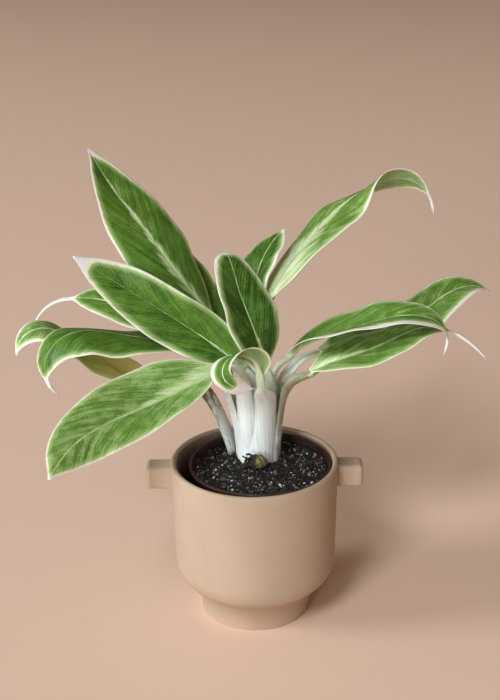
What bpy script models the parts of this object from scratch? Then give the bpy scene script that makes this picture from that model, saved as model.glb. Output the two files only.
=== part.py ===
"""A chinese evergreen in a ceramic planter.

The planter has a set-in foot and two lug handles. A grower's pot of potting mix stands in it, and a
clump of sheathing leaf stalks in the mix carries fourteen variegated leaves.

Metres, +Z up, the front toward -Y. The origin is the middle of the planter's foot, on the surface it
stands on.
"""
import math
from collections import namedtuple

import bmesh
import bpy
from mathutils import Vector, noise

GAP = 0.0003
MERGE = 0.00005

# Planter
PLANTER_RIM_RADIUS = 0.0730
PLANTER_HEIGHT = 0.1435
PLANTER_WALL = 0.0050
BODY_LOW_RADIUS = 0.0710
BODY_ROUNDING_TOP = 0.0510
FOOT_TOP_RADIUS = 0.0505
FOOT_BASE_RADIUS = 0.0488
FOOT_HEIGHT = 0.0275
FOOT_EDGE_ROUNDING = 0.0010
PLANTER_FLOOR = 0.0335
PLANTER_FLOOR_RADIUS = 0.0500
LUG_REACH = 0.0945
LUG_ROOT = 0.0705
LUG_WIDTH = 0.0220
LUG_TOP = 0.1400
LUG_HEIGHT = 0.0205
LUG_ROUNDING = 0.0040

# Grower's pot, standing a little to the right in the planter
POT_SHIFT = 0.0050
POT_RIM_RADIUS = 0.0622
POT_BASE_RADIUS = 0.0430
POT_TOP = 0.1405
POT_WALL = 0.0012
POT_LIP_DROP = 0.0060
POT_LIP_STEP = 0.0012
POT_LIP_CHAMFER = 0.0004
DRAIN_HOLES = 6
DRAIN_RADIUS = 0.0040
DRAIN_RING = 0.0300
DRAIN_CUT_DEPTH = 0.0060

# Potting mix: its bumps are level round the clump and rise in full a little farther out
SOIL_TOP = 0.1330
SOIL_RINGS = 7
SOIL_BUMPS = 0.0018
SOIL_BUMPS_PER_METRE = 90.0
SOIL_LEVEL_RADIUS = 0.0400
SOIL_BUMPS_FADE = 0.0050

# Clump of stalks: it stands in a plain hole in the mix
CLUMP_X = 0.0020
CLUMP_Y = 0.0240
PLUG_RADIUS = 0.0275
PLUG_BOTTOM = 0.1080
PLUG_RISE = 0.0015
PLUG_HOLE_OVERCUT = 0.0050
CORE_X = 0.0050
CORE_Y = 0.0250
CORE_TOP = 0.2060
CORE_RADIUS = 0.0190
CORE_TOP_RADIUS = 0.0180
STALK_TOP_RADIUS = 0.0036
STALK_LIFT = 0.0006

# Sheath of a stalk: it narrows from one share of the stalk's span to another, and the last share is straight
SHEATH_HALF_WIDTH = 0.0088
SHEATH_HALF_DEPTH = 0.0048
SHEATH_SHARE = 0.30
ROUND_SHARE = 0.95
STRAIGHT_SHARE = 0.30

# Old stub, lying in front of the stem: half sizes, and how far below its middle it is flat
STUB_SIZE = (0.0085, 0.0055, 0.0080)
STUB_FLAT = 0.0062
STUB_X = 0.0025
STUB_Y = -0.0025
STUB_LEAN = -0.30

# Leaf blades
LEAF_OUTLINE = (0.13, 0.62, 0.88, 0.98, 1.0, 0.95, 0.84, 0.66, 0.40, 0.04)
EDGE_DROOP = math.radians(25)
BLADE_THICKNESS = 0.0010
THREAD_ROOT_HALF_WIDTH = 0.0019
THREAD_HALF_WIDTH = 0.0007
RIB_DEPTH = 0.0022
RIB_TAPER = 1.5
WAVE_HEIGHT = 0.0011
WAVE_PHASES = (4.1, 1.3)
BLADE_ROWS = 15
THREAD_ROWS = 20
BLADE_COLUMNS = (-1.0, -0.68, -0.34, 0.0, 0.34, 0.68, 1.0)

# A leaf: where its blade starts, its length and half width, then angles in degrees from base to tip: its
# compass heading, its rise above level, its roll about its midrib and how far both halves fold up from flat.
# The root is the stalk's place in the clump, as a compass angle and a distance from the middle. A tail is the
# part of the length that is a bare thread. The stalk swings outward by its lean, and runs upright for the
# climb, a share of its span.
Leaf = namedtuple("Leaf", "name base length half_width heading rise roll fold root tail waves lean climb",
                  defaults=(0.0, 4.0, 0.009, 0.5))

LEAVES = (
    Leaf("leaf_upper_left", (-0.034, 0.037, 0.261), 0.182, 0.034,
         (160, 150, 155), (45, 50, 45, 60), (0, -20, -10), (10, 5, 30), (130, 0.0145)),
    Leaf("leaf_back_left_small", (-0.025, 0.053, 0.232), 0.110, 0.020,
         (135, 130, 130), (55, 50, 45, 50), (0, 0, 5), (25, 15, 15), (115, 0.0116)),
    Leaf("leaf_left_middle", (-0.007, 0.0195, 0.2195), 0.176, 0.026,
         (170, 180, 185), (40, 35, 35, 35), (-45, -80, -55), (35, 35, 5), (175, 0.0087)),
    Leaf("leaf_left_thread_tip", (-0.035, 0.045, 0.231), 0.191, 0.026,
         (175, 165, 160), (40, 20, 10, -15, -65), (-10, -25, -25), (30, 15, 15), (155, 0.0145), 0.27),
    Leaf("leaf_far_left", (-0.089, 0.048, 0.188), 0.152, 0.029,
         (175, 190, 195), (25, 40, 30, -80), (-15, 0, -20), (40, 0, 15), (155, 0.0220),
         0.0, 4.0, 0.035, 1.15),
    Leaf("leaf_left_drooping", (-0.056, 0.034, 0.232), 0.176, 0.031,
         (185, 200, 205), (25, 15, 10, -60, -135), (0, -5, -35), (20, -10, 20), (175, 0.0120), 0.10),
    Leaf("leaf_front_left", (-0.029, 0.000, 0.230), 0.189, 0.035,
         (210, 220, 250), (-20, -10, -5, -25), (-20, -20, -25), (40, 25, -10), (235, 0.0105),
         0.0, 3.0, 0.015),
    Leaf("leaf_front_curled", (0.006, -0.027, 0.2325), 0.089, 0.0185,
         (215, 190, 195, 205), (85, 32, -55, -140, -175), (38, 36, -40, -70), (30, 5, 10), (305, 0.0175),
         0.0, 4.0, 0.0, 0.85),
    Leaf("leaf_centre_upright", (0.012, 0.011, 0.226), 0.1165, 0.026,
         (170, 160, 130, 95), (70, 70, 65, 60, -20), (-35, -35, 0, 5), (20, 25, 0), (300, 0.0087)),
    Leaf("leaf_back_right_small", (-0.002, 0.050, 0.257), 0.090, 0.020,
         (60, 55, 50), (80, 65, 40, 20), (-15, -10, 0), (30, 25, 0), (90, 0.0145)),
    Leaf("leaf_upper_right_twisted", (0.013, 0.036, 0.277), 0.228, 0.033,
         (50, 45, 20, -45), (45, 30, 28, 7, -80), (-20, -25, -10, -42, -65), (10, 5, 20), (60, 0.0145),
         0.07),
    Leaf("leaf_right_middle", (0.029, 0.014, 0.235), 0.169, 0.027,
         (-15, -10, -5), (40, 20, 20, -15, -115), (-5, 5, 20), (30, 25, 10), (10, 0.0145), 0.11),
    Leaf("leaf_right_lower", (0.048, -0.002, 0.226), 0.169, 0.025,
         (5, 5, 0), (25, 15, 25, -25, -50), (10, 10, 0), (25, 10, 20), (-5, 0.0175), 0.24,
         4.0, 0.006, 0.60),
    Leaf("leaf_far_right", (0.057, 0.026, 0.234), 0.181, 0.026,
         (15, 25, 30), (10, 10, 25, -30), (10, 15, 20), (25, 5, 30), (35, 0.0160)),
)


def clear_scene():
    for item in list(bpy.data.objects):
        bpy.data.objects.remove(item, do_unlink=True)


def new_collection(name):
    collection = bpy.data.collections.new(name)
    bpy.context.scene.collection.children.link(collection)
    return collection


def material(name, colour, roughness):
    made = bpy.data.materials.new(name)
    made.use_nodes = True
    shader = made.node_tree.nodes["Principled BSDF"]
    shader.inputs["Base Color"].default_value = (*colour, 1.0)
    shader.inputs["Roughness"].default_value = roughness
    shader.inputs["Metallic"].default_value = 0.0
    return made


def add_object(name, mesh, collection, surface=None):
    item = bpy.data.objects.new(name, mesh)
    collection.objects.link(item)
    if surface:
        mesh.materials.append(surface)
    return item


def elliptical_corner(centre, half_width, half_height, steps, start=0.0, end=90.0):
    """Points on an ellipse, measured from +X downward."""
    points = []
    for step in range(steps + 1):
        angle = math.radians(start + (end - start) * step / steps)
        points.append((centre[0] + half_width * math.cos(angle), centre[1] - half_height * math.sin(angle)))
    return points


def turned(name, profile, steps, collection, surface, shift=0.0):
    """A solid turned about its own Z axis from a profile whose ends lie on that axis."""
    mesh = bpy.data.meshes.new(name)
    mesh.from_pydata([(x, 0.0, z) for x, z in profile], [(i, i + 1) for i in range(len(profile) - 1)], [])
    item = add_object(name, mesh, collection, surface)
    item.location.x = shift
    screw = item.modifiers.new("Turn", "SCREW")
    screw.axis = "Z"
    screw.steps = steps
    screw.render_steps = steps
    screw.use_merge_vertices = True
    screw.merge_threshold = MERGE
    screw.use_smooth_shade = True
    return item


def box(name, size, centre, collection):
    bpy.ops.mesh.primitive_cube_add(size=1.0)
    return settle(bpy.context.object, name, size, centre, collection)


def cylinder(name, radius, height, centre, sides, collection):
    bpy.ops.mesh.primitive_cylinder_add(vertices=sides, radius=1.0, depth=1.0)
    return settle(bpy.context.object, name, (radius, radius, height), centre, collection)


def settle(item, name, size, centre, collection):
    """Gives a primitive its name, size, place and collection, with the size applied to its mesh."""
    item.name = name
    item.data.name = name
    for vertex in item.data.vertices:
        vertex.co = [length * scale for length, scale in zip(vertex.co, size)]
    item.location = centre
    for owner in list(item.users_collection):
        owner.objects.unlink(item)
    collection.objects.link(item)
    return item


def hide_cutter(item):
    item.hide_render = True
    item.display_type = "WIRE"


def cut(item, cutter):
    hide_cutter(cutter)
    boolean = item.modifiers.new("Cut", "BOOLEAN")
    boolean.operation = "DIFFERENCE"
    boolean.solver = "EXACT"
    boolean.object = cutter


def evaluated_mesh(item):
    bpy.context.view_layer.update()
    graph = bpy.context.evaluated_depsgraph_get()
    return bpy.data.meshes.new_from_object(item.evaluated_get(graph))


def join_all(name, pieces, collection, surface):
    """One solid from overlapping pieces, which are then removed."""
    group = new_collection(name + "_pieces")
    for piece in pieces[1:]:
        for owner in list(piece.users_collection):
            owner.objects.unlink(piece)
        group.objects.link(piece)
    boolean = pieces[0].modifiers.new("Join", "BOOLEAN")
    boolean.operation = "UNION"
    boolean.solver = "EXACT"
    boolean.operand_type = "COLLECTION"
    boolean.collection = group
    mesh = evaluated_mesh(pieces[0])
    mesh.name = name
    mesh.materials.clear()
    place = pieces[0].matrix_world.copy()
    for piece in pieces:
        bpy.data.objects.remove(piece, do_unlink=True)
    bpy.data.collections.remove(group)
    joined = add_object(name, mesh, collection, surface)
    joined.matrix_world = place
    return joined


def planter_profile():
    inner_top = PLANTER_RIM_RADIUS - PLANTER_WALL
    inner_low = BODY_LOW_RADIUS - PLANTER_WALL
    edge = PLANTER_WALL / 2
    soft = FOOT_EDGE_ROUNDING
    inner_corner = elliptical_corner((PLANTER_FLOOR_RADIUS, BODY_ROUNDING_TOP),
                                     inner_low - PLANTER_FLOOR_RADIUS, BODY_ROUNDING_TOP - PLANTER_FLOOR, 6)
    rim = elliptical_corner((inner_top + edge, PLANTER_HEIGHT - edge), edge, edge, 6, -180.0, 0.0)
    outer_corner = elliptical_corner((FOOT_TOP_RADIUS, BODY_ROUNDING_TOP),
                                     BODY_LOW_RADIUS - FOOT_TOP_RADIUS, BODY_ROUNDING_TOP - FOOT_HEIGHT, 9)
    foot_edge = elliptical_corner((FOOT_BASE_RADIUS - soft, soft), soft, soft, 2)
    return [(0.0, PLANTER_FLOOR)] + inner_corner[::-1] + rim + outer_corner + foot_edge + [(0.0, 0.0)]


def build_planter(collection, surface):
    body = turned("planter_body", planter_profile(), 56, collection, surface)
    pieces = [body]
    for side in (-1, 1):
        centre = (side * (LUG_REACH + LUG_ROOT) / 2, 0.0, LUG_TOP - LUG_HEIGHT / 2)
        lug = box("planter_lug", (LUG_REACH - LUG_ROOT, LUG_WIDTH, LUG_HEIGHT), centre, collection)
        bevel = lug.modifiers.new("Soften", "BEVEL")
        bevel.width = LUG_ROUNDING
        bevel.segments = 3
        root = [vertex.index for vertex in lug.data.vertices if vertex.co.x * side < 0]
        group = lug.vertex_groups.new(name="outer")
        group.add([i for i in range(len(lug.data.vertices)) if i not in root], 1.0, "REPLACE")
        bevel.limit_method = "VGROUP"
        bevel.vertex_group = "outer"
        pieces.append(lug)
    join_all("planter", pieces, collection, surface)


def nursery_radius(height):
    """Outer radius of the grower's pot below its lip."""
    share = (height - PLANTER_FLOOR) / (POT_TOP - PLANTER_FLOOR)
    return POT_BASE_RADIUS + (POT_RIM_RADIUS - POT_LIP_STEP - POT_BASE_RADIUS) * share


def build_nursery_pot(collection, cutters, surface):
    foot = PLANTER_FLOOR + GAP
    floor = foot + POT_WALL
    lip_low = POT_TOP - POT_LIP_DROP
    chamfer = POT_LIP_CHAMFER
    profile = [
        (0.0, floor),
        (nursery_radius(floor) - POT_WALL, floor),
        (nursery_radius(POT_TOP) - POT_WALL, POT_TOP - chamfer),
        (nursery_radius(POT_TOP) - POT_WALL + chamfer, POT_TOP),
        (POT_RIM_RADIUS - chamfer, POT_TOP),
        (POT_RIM_RADIUS, POT_TOP - chamfer),
        (nursery_radius(lip_low) + POT_LIP_STEP, lip_low),
        (nursery_radius(lip_low), lip_low),
        (nursery_radius(foot), foot),
        (0.0, foot),
    ]
    pot = turned("nursery_pot", profile, 48, collection, surface, POT_SHIFT)
    for number in range(DRAIN_HOLES):
        angle = math.tau * (number + 0.5) / DRAIN_HOLES
        centre = (POT_SHIFT + DRAIN_RING * math.cos(angle), DRAIN_RING * math.sin(angle), foot)
        cut(pot, cylinder("drain_cutter_%d" % number, DRAIN_RADIUS, DRAIN_CUT_DEPTH, centre, 12, cutters))


def build_soil(collection, cutters, surface):
    bottom = PLANTER_FLOOR + POT_WALL + 2 * GAP

    def reach(height):
        return nursery_radius(height) - POT_WALL - GAP

    profile = [(reach(SOIL_TOP) * ring / SOIL_RINGS, SOIL_TOP) for ring in range(SOIL_RINGS + 1)]
    profile += [(reach(bottom), bottom), (0.0, bottom)]
    blank = turned("potting_mix_blank", profile, 40, collection, surface, POT_SHIFT)
    mesh = evaluated_mesh(blank)
    bpy.data.objects.remove(blank, do_unlink=True)
    mesh.name = "potting_mix"
    clump = Vector((CLUMP_X - POT_SHIFT, CLUMP_Y))
    for vertex in mesh.vertices:
        spot = vertex.co
        edge = reach(SOIL_TOP) - spot.xy.length
        away = (spot.xy - clump).length - SOIL_LEVEL_RADIUS
        if spot.z > SOIL_TOP - MERGE and edge > MERGE and away > 0.0:
            place = Vector((spot.x * SOIL_BUMPS_PER_METRE, spot.y * SOIL_BUMPS_PER_METRE, 3.0))
            spot.z += SOIL_BUMPS * noise.noise(place) * min(1.0, away / SOIL_BUMPS_FADE)
    soil = bpy.data.objects.new("potting_mix", mesh)
    soil.location.x = POT_SHIFT
    collection.objects.link(soil)
    hole_bottom = PLUG_BOTTOM - GAP
    hole_top = SOIL_TOP + PLUG_HOLE_OVERCUT
    centre = (CLUMP_X, CLUMP_Y, (hole_bottom + hole_top) / 2)
    cut(soil, cylinder("clump_hole_cutter", PLUG_RADIUS + GAP, hole_top - hole_bottom, centre, 32, cutters))


def blend(values, share):
    """A smooth curve through evenly spaced values."""
    last = len(values) - 1
    place = min(max(share, 0.0), 1.0) * last
    i = min(int(place), last - 1)
    f = place - i
    before, here, after, beyond = values[max(i - 1, 0)], values[i], values[i + 1], values[min(i + 2, last)]
    return 0.5 * (2 * here + (after - before) * f + (2 * before - 5 * here + 4 * after - beyond) * f * f
                  + (3 * here - before - 3 * after + beyond) * f ** 3)


def direction(leaf, share):
    heading = math.radians(blend(leaf.heading, share))
    rise = math.radians(blend(leaf.rise, share))
    return Vector((math.cos(heading) * math.cos(rise), math.sin(heading) * math.cos(rise), math.sin(rise)))


def leaf_axes(leaf, share):
    """The blade's sideways and upward directions at a share of its length."""
    heading = math.radians(blend(leaf.heading, share))
    rise = math.radians(blend(leaf.rise, share))
    roll = math.radians(blend(leaf.roll, share))
    level = Vector((-math.sin(heading), math.cos(heading), 0.0))
    onward = Vector((math.cos(heading), math.sin(heading), 0.0))
    upright = Vector((0.0, 0.0, math.cos(rise))) - onward * math.sin(rise)
    side = level * math.cos(roll) + upright * math.sin(roll)
    return side, upright * math.cos(roll) - level * math.sin(roll)


def midrib(leaf, rows):
    """Points along the midrib, stepped finely enough that any number of rows gives the same curve."""
    fine = 12
    step = leaf.length / (rows * fine)
    spot = Vector(leaf.base)
    points = [spot.copy()]
    for row in range(rows):
        for part in range(fine):
            spot += direction(leaf, (row + (part + 0.5) / fine) / rows) * step
        points.append(spot.copy())
    return points


def half_width(leaf, share):
    blade = 1.0 - leaf.tail
    narrowest = THREAD_HALF_WIDTH
    if leaf.tail:
        left = min(1.0, (1.0 - share) / leaf.tail)
        narrowest += (THREAD_ROOT_HALF_WIDTH - THREAD_HALF_WIDTH) * left
    if share >= blade:
        return narrowest
    return max(narrowest, leaf.half_width * blend(LEAF_OUTLINE, share / blade))


def section_point(leaf, share, column):
    """A place across the blade: its sideways and upward offsets from the midrib, and the slope there."""
    start = math.radians(blend(leaf.fold, share))
    width = half_width(leaf, share)
    reach = abs(column)
    parts = 6
    side = 0.0
    lift = 0.0
    for part in range(parts):
        angle = start - EDGE_DROOP * reach * (part + 0.5) / parts
        side += math.cos(angle) * reach / parts
        lift += math.sin(angle) * reach / parts
    slope = start - EDGE_DROOP * reach if column else 0.0
    phase = WAVE_PHASES[column > 0]
    wave = math.sin(math.tau * leaf.waves * share + phase) * reach ** 2 * math.sin(math.pi * share)
    lift = lift * width + WAVE_HEIGHT * wave * min(1.0, width / leaf.half_width)
    return math.copysign(side * width, column), lift, math.copysign(slope, column)


def blade_mesh(leaf):
    """A closed blade lofted along its midrib, its two faces split into triangles alike."""
    rows = THREAD_ROWS if leaf.tail else BLADE_ROWS
    spine = midrib(leaf, rows)
    upper = []
    lower = []
    for row, spot in enumerate(spine):
        share = row / rows
        side, up = leaf_axes(leaf, share)
        for column in BLADE_COLUMNS:
            across, lift, slope = section_point(leaf, share, column)
            middle = spot + side * across + up * lift
            normal = up * math.cos(slope) - side * math.sin(slope)
            rib = RIB_DEPTH * (1.0 - share) ** RIB_TAPER if column == 0.0 else 0.0
            upper.append(middle + normal * BLADE_THICKNESS / 2)
            lower.append(middle - normal * (BLADE_THICKNESS / 2 + rib))
    return loft_mesh(leaf.name, upper, lower, len(spine), len(BLADE_COLUMNS))


def loft_mesh(name, upper, lower, rows, columns):
    count = len(upper)
    faces = []
    for row in range(rows - 1):
        for column in range(columns - 1):
            a = row * columns + column
            b = a + columns
            faces += [(a, b, b + 1), (a, b + 1, a + 1)]
            faces += [(count + a, count + b + 1, count + b), (count + a, count + a + 1, count + b + 1)]
    edge = [row * columns for row in range(rows)]
    far_edge = [row * columns + columns - 1 for row in range(rows)]
    base = list(range(columns))
    tip = list(range(count - columns, count))
    for line, turned_over in ((edge, False), (far_edge, True), (base, True), (tip, False)):
        for near, far in zip(line, line[1:]):
            quad = (near, count + near, count + far, far)
            faces.append(quad[::-1] if turned_over else quad)
    mesh = bpy.data.meshes.new(name)
    mesh.from_pydata([tuple(point) for point in upper + lower], [], faces)
    shell = bmesh.new()
    shell.from_mesh(mesh)
    bmesh.ops.recalc_face_normals(shell, faces=shell.faces)
    shell.to_mesh(mesh)
    shell.free()
    mesh.shade_smooth()
    return mesh


def bezier(points, share):
    left = 1.0 - share
    weights = (left ** 3, 3 * left * left * share, 3 * left * share * share, share ** 3)
    return sum((point * weight for point, weight in zip(points, weights)), Vector((0.0, 0.0, 0.0)))


def stalk_mesh(leaf, sides=8, rows=9):
    """A stalk from the clump to the blade: a broad flat sheath low down, round where the blade starts."""
    angle = math.radians(leaf.root[0])
    outward = Vector((math.cos(angle), math.sin(angle), 0.0))
    root = Vector((CLUMP_X, CLUMP_Y, SOIL_TOP + STALK_LIFT)) + outward * leaf.root[1]
    toward = direction(leaf, 0.0)
    end = Vector(leaf.base) - toward * GAP
    span = (end - root).length
    upright = root + outward * leaf.lean + Vector((0.0, 0.0, span * leaf.climb))
    control = (root, upright, end - toward * span * STRAIGHT_SHARE, end)
    side_end = leaf_axes(leaf, 0.0)[0]
    side_root = Vector((-outward.y, outward.x, 0.0))
    if side_end.dot(side_root) <= 0:
        side_end = -side_end
    nudge = 0.01
    verts = []
    for row in range(rows + 1):
        share = row / rows
        spot = bezier(control, share)
        along = toward
        if row < rows:
            along = (bezier(control, share + nudge) - bezier(control, share - nudge)).normalized()
        side = side_root.lerp(side_end, share)
        side = (side - along * side.dot(along)).normalized()
        if row == 0:
            along = Vector((0.0, 0.0, 1.0))
            side = side_root
        depth = along.cross(side)
        narrow = min(1.0, max(0.0, (share - SHEATH_SHARE) / (ROUND_SHARE - SHEATH_SHARE)))
        wide = SHEATH_HALF_WIDTH + (STALK_TOP_RADIUS - SHEATH_HALF_WIDTH) * narrow
        thick = SHEATH_HALF_DEPTH + (STALK_TOP_RADIUS - SHEATH_HALF_DEPTH) * narrow
        for number in range(sides):
            turn = math.tau * (number + 0.5) / sides
            verts.append(spot + side * wide * math.cos(turn) + depth * thick * math.sin(turn))
    return tube_mesh("stalk", verts, sides, rows)


def tube_mesh(name, verts, sides, rows):
    faces = [tuple(range(sides)), tuple(range(rows * sides, (rows + 1) * sides))]
    for row in range(rows):
        for number in range(sides):
            a = row * sides + number
            b = row * sides + (number + 1) % sides
            faces.append((a, b, b + sides, a + sides))
    mesh = bpy.data.meshes.new(name)
    mesh.from_pydata([tuple(vertex) for vertex in verts], [], faces)
    shell = bmesh.new()
    shell.from_mesh(mesh)
    bmesh.ops.recalc_face_normals(shell, faces=shell.faces)
    shell.to_mesh(mesh)
    shell.free()
    return mesh


def build_clump(collection, surface):
    plug_height = SOIL_TOP + PLUG_RISE - PLUG_BOTTOM
    plug_centre = (CLUMP_X, CLUMP_Y, PLUG_BOTTOM + plug_height / 2)
    plug = cylinder("plug", PLUG_RADIUS, plug_height, plug_centre, 24, collection)
    core_height = CORE_TOP - SOIL_TOP
    core_centre = (CORE_X, CORE_Y, SOIL_TOP + core_height / 2 + STALK_LIFT)
    core = cylinder("core", CORE_RADIUS, core_height, core_centre, 16, collection)
    for vertex in core.data.vertices:
        if vertex.co.z > 0.0:
            vertex.co.xy *= CORE_TOP_RADIUS / CORE_RADIUS
    pieces = [plug, core]
    for leaf in LEAVES:
        pieces.append(add_object(leaf.name + "_stalk", stalk_mesh(leaf), collection))
    join_all("stem_clump", pieces, collection, surface)


def build_old_stub(collection, surface):
    """The dried knob of an old sheath, on the plug in front of the stem."""
    bpy.ops.mesh.primitive_uv_sphere_add(segments=14, ring_count=8, radius=1.0)
    centre = (STUB_X, STUB_Y, SOIL_TOP + PLUG_RISE + GAP + STUB_FLAT)
    stub = settle(bpy.context.object, "old_stub", STUB_SIZE, centre, collection)
    for vertex in stub.data.vertices:
        vertex.co.z = max(vertex.co.z, -STUB_FLAT)
        vertex.co.x += STUB_LEAN * vertex.co.z
    stub.data.materials.append(surface)
    stub.data.shade_smooth()


def build():
    clear_scene()
    plant = new_collection("potted_chinese_evergreen")
    cutters = new_collection("cutters")
    stoneware = material("beige_stoneware", (0.60, 0.43, 0.31), 0.75)
    plastic = material("brown_plastic", (0.030, 0.016, 0.012), 0.45)
    mix = material("potting_mix", (0.016, 0.012, 0.010), 0.95)
    stalk = material("white_stalk", (0.66, 0.70, 0.60), 0.50)
    dried = material("dried_sheath", (0.20, 0.17, 0.07), 0.80)
    blade = material("variegated_blade", (0.16, 0.30, 0.08), 0.45)
    build_planter(plant, stoneware)
    build_nursery_pot(plant, cutters, plastic)
    build_soil(plant, cutters, mix)
    build_clump(plant, stalk)
    build_old_stub(plant, dried)
    for leaf in LEAVES:
        add_object(leaf.name, blade_mesh(leaf), plant, blade)


build()
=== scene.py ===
"""The looks of a potted chinese evergreen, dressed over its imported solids.

Metres, +Z up, the front toward -Y, as in the solids.
"""
import math
from collections import namedtuple

import bmesh
import bpy
import numpy as np
from mathutils import Matrix, Vector, noise


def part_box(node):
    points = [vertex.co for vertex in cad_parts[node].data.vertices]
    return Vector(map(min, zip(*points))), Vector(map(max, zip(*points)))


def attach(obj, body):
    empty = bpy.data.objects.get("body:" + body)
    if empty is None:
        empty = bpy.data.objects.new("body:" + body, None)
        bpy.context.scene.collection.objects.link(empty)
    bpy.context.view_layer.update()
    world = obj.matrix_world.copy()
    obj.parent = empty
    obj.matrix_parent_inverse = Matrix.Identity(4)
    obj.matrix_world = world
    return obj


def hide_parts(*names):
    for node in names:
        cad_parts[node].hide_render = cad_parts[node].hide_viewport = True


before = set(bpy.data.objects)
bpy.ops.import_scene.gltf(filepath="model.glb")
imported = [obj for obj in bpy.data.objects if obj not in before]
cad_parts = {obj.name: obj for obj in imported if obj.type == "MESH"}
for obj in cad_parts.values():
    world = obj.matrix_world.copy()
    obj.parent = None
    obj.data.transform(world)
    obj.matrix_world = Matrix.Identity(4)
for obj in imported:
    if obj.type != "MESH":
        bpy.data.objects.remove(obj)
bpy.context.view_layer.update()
ROOT = "root"
UP = np.array((0.0, 0.0, 1.0))
CM = 100.0
MM = 1000.0

# Planter
PLANTER_RIM_RADIUS = 0.0730
PLANTER_HEIGHT = 0.1435
PLANTER_WALL = 0.0050
BODY_LOW_RADIUS = 0.0710
BODY_ROUNDING_TOP = 0.0510
FOOT_TOP_RADIUS = 0.0505
FOOT_BASE_RADIUS = 0.0488
FOOT_HEIGHT = 0.0275
FOOT_EDGE_ROUNDING = 0.0010
PLANTER_FLOOR = 0.0335
PLANTER_FLOOR_RADIUS = 0.0500
LUG_REACH = 0.0945
LUG_ROOT = 0.0705
LUG_WIDTH = 0.0220
LUG_TOP = 0.1400
LUG_HEIGHT = 0.0205
LUG_ROUNDING = 0.0042
PLANTER_STEPS = 168
# Painted shade on the planter's inner wall: how far below the rim it starts and how far down it reaches full
# dark
INSIDE_SHADE_TOP = 0.0008
INSIDE_SHADE_BLEND = 0.0035

# Grower's pot
POT_SHIFT = 0.0050
POT_RIM_RADIUS = 0.0622
POT_BASE_RADIUS = 0.0430
POT_TOP = 0.1405
POT_WALL = 0.0012
POT_LIP_DROP = 0.0060
POT_LIP_STEP = 0.0012
POT_LIP_ROUNDING = 0.0006
POT_STEPS = 144
DRAIN_HOLES = 6
DRAIN_RADIUS = 0.0040
DRAIN_RING = 0.0300
GAP = 0.0003

# Potting mix
SOIL_TOP = 0.1330
SOIL_LEVEL_RADIUS = 0.0400
SOIL_LEVEL_BLEND = 0.0050
SOIL_RINGS = 84
SOIL_SECTORS = 200
SOIL_MOUND = 0.0015
SOIL_MOUND_MARGIN = 0.0060
SOIL_BANK = 0.0016
SOIL_BANK_RADIUS = 0.0490
SOIL_BLEND = 0.0080
WALL_CLEARANCE = 0.0016
CLUMP_CLEARANCE = 0.0165
CRUMBS = 4200
CRUMB_SIZES = (0.0005, 0.0017)
PERLITE_BITS = 120
PERLITE_SIZES = (0.0003, 0.0011)
PERLITE_LARGE = ((0.0217, -0.0322, 0.0020), (0.0447, -0.0363, 0.0022), (-0.0187, -0.0395, 0.0017),
                 (-0.0245, -0.0455, 0.0013), (0.0492, -0.0290, 0.0014), (0.0350, -0.0440, 0.0012),
                 (0.0600, -0.0209, 0.0015), (-0.0190, -0.0330, 0.0012), (-0.0170, -0.0545, 0.0014),
                 (0.0140, -0.0250, 0.0013), (-0.0350, -0.0150, 0.0013), (0.0120, -0.0520, 0.0010))
FIBRES = 60
FIBRE_ROWS = 6
FIBRE_SIDES = 5
FIBRE_LIFT = 0.0006
FIBRE_LENGTHS = (0.0025, 0.0060)
FIBRE_RADII = (0.00012, 0.00028)

# The mix's bumps from coarse to fine: height, how many there are in a metre and a seed
SOIL_ROUGHNESS = ((0.0018, 90.0, 3.0), (0.0009, 260.0, 1.0), (0.0006, 800.0, 7.0))

# Clump of stalks
CLUMP = np.array((0.0020, 0.0240, SOIL_TOP))
PLUG_RADIUS = 0.0275
CORE_PLACE = (0.0038, 0.0250)
CORE_TOP = 0.2060
CORE_RADIUS = 0.0198
CORE_TOP_RADIUS = 0.0194
CORE_ROWS = 12
CORE_SIDES = 40
CORE_RIDGES = 7
CORE_RIDGE_HEIGHT = 0.0006
STALK_TOP_RADIUS = 0.0036
STALK_TOP_DEPTH = 0.00576
STALK_GROOVE = 0.0010
STALK_SINK = 0.0060
SHEATH_HALF_WIDTH = 0.0094
SHEATH_DEPTH = 0.0060
SHEATH_EDGE = 0.0006
SHEATH_WOBBLE = 0.10
SHEATH_SHARE = 0.40
ROUND_SHARE = 0.95
STRAIGHT_SHARE = 0.30
STALK_ROWS = 60
STALK_SIDES = 15
RUNOUT_ROWS = 10
RUNOUT_LENGTH = 0.0200
RUNOUT_NARROWING = 0.75
RUNOUT_THINNING = 0.85
WING_MIDDLE = 0.72
WING_SPREAD = 0.17

# Old stub
STUB_RIDGES = 9
SCRAP_ROWS = 18
SCRAP_COLUMNS = 7
SCRAP_LENGTHS = (0.005, 0.008)
SCRAP_HALF_WIDTH = 0.0026
SCRAP_THICKNESS = 0.00044

# Where the dark scraps lie on and beside the stub: x, y and height above its foot
SCRAPS = ((-0.0075, -0.0015, 0.0030), (-0.0055, -0.0010, 0.0075), (-0.0030, -0.0030, 0.0090),
          (-0.0090, -0.0010, 0.0050), (-0.0015, -0.0015, 0.0105), (-0.0110, 0.0000, 0.0010))

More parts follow.
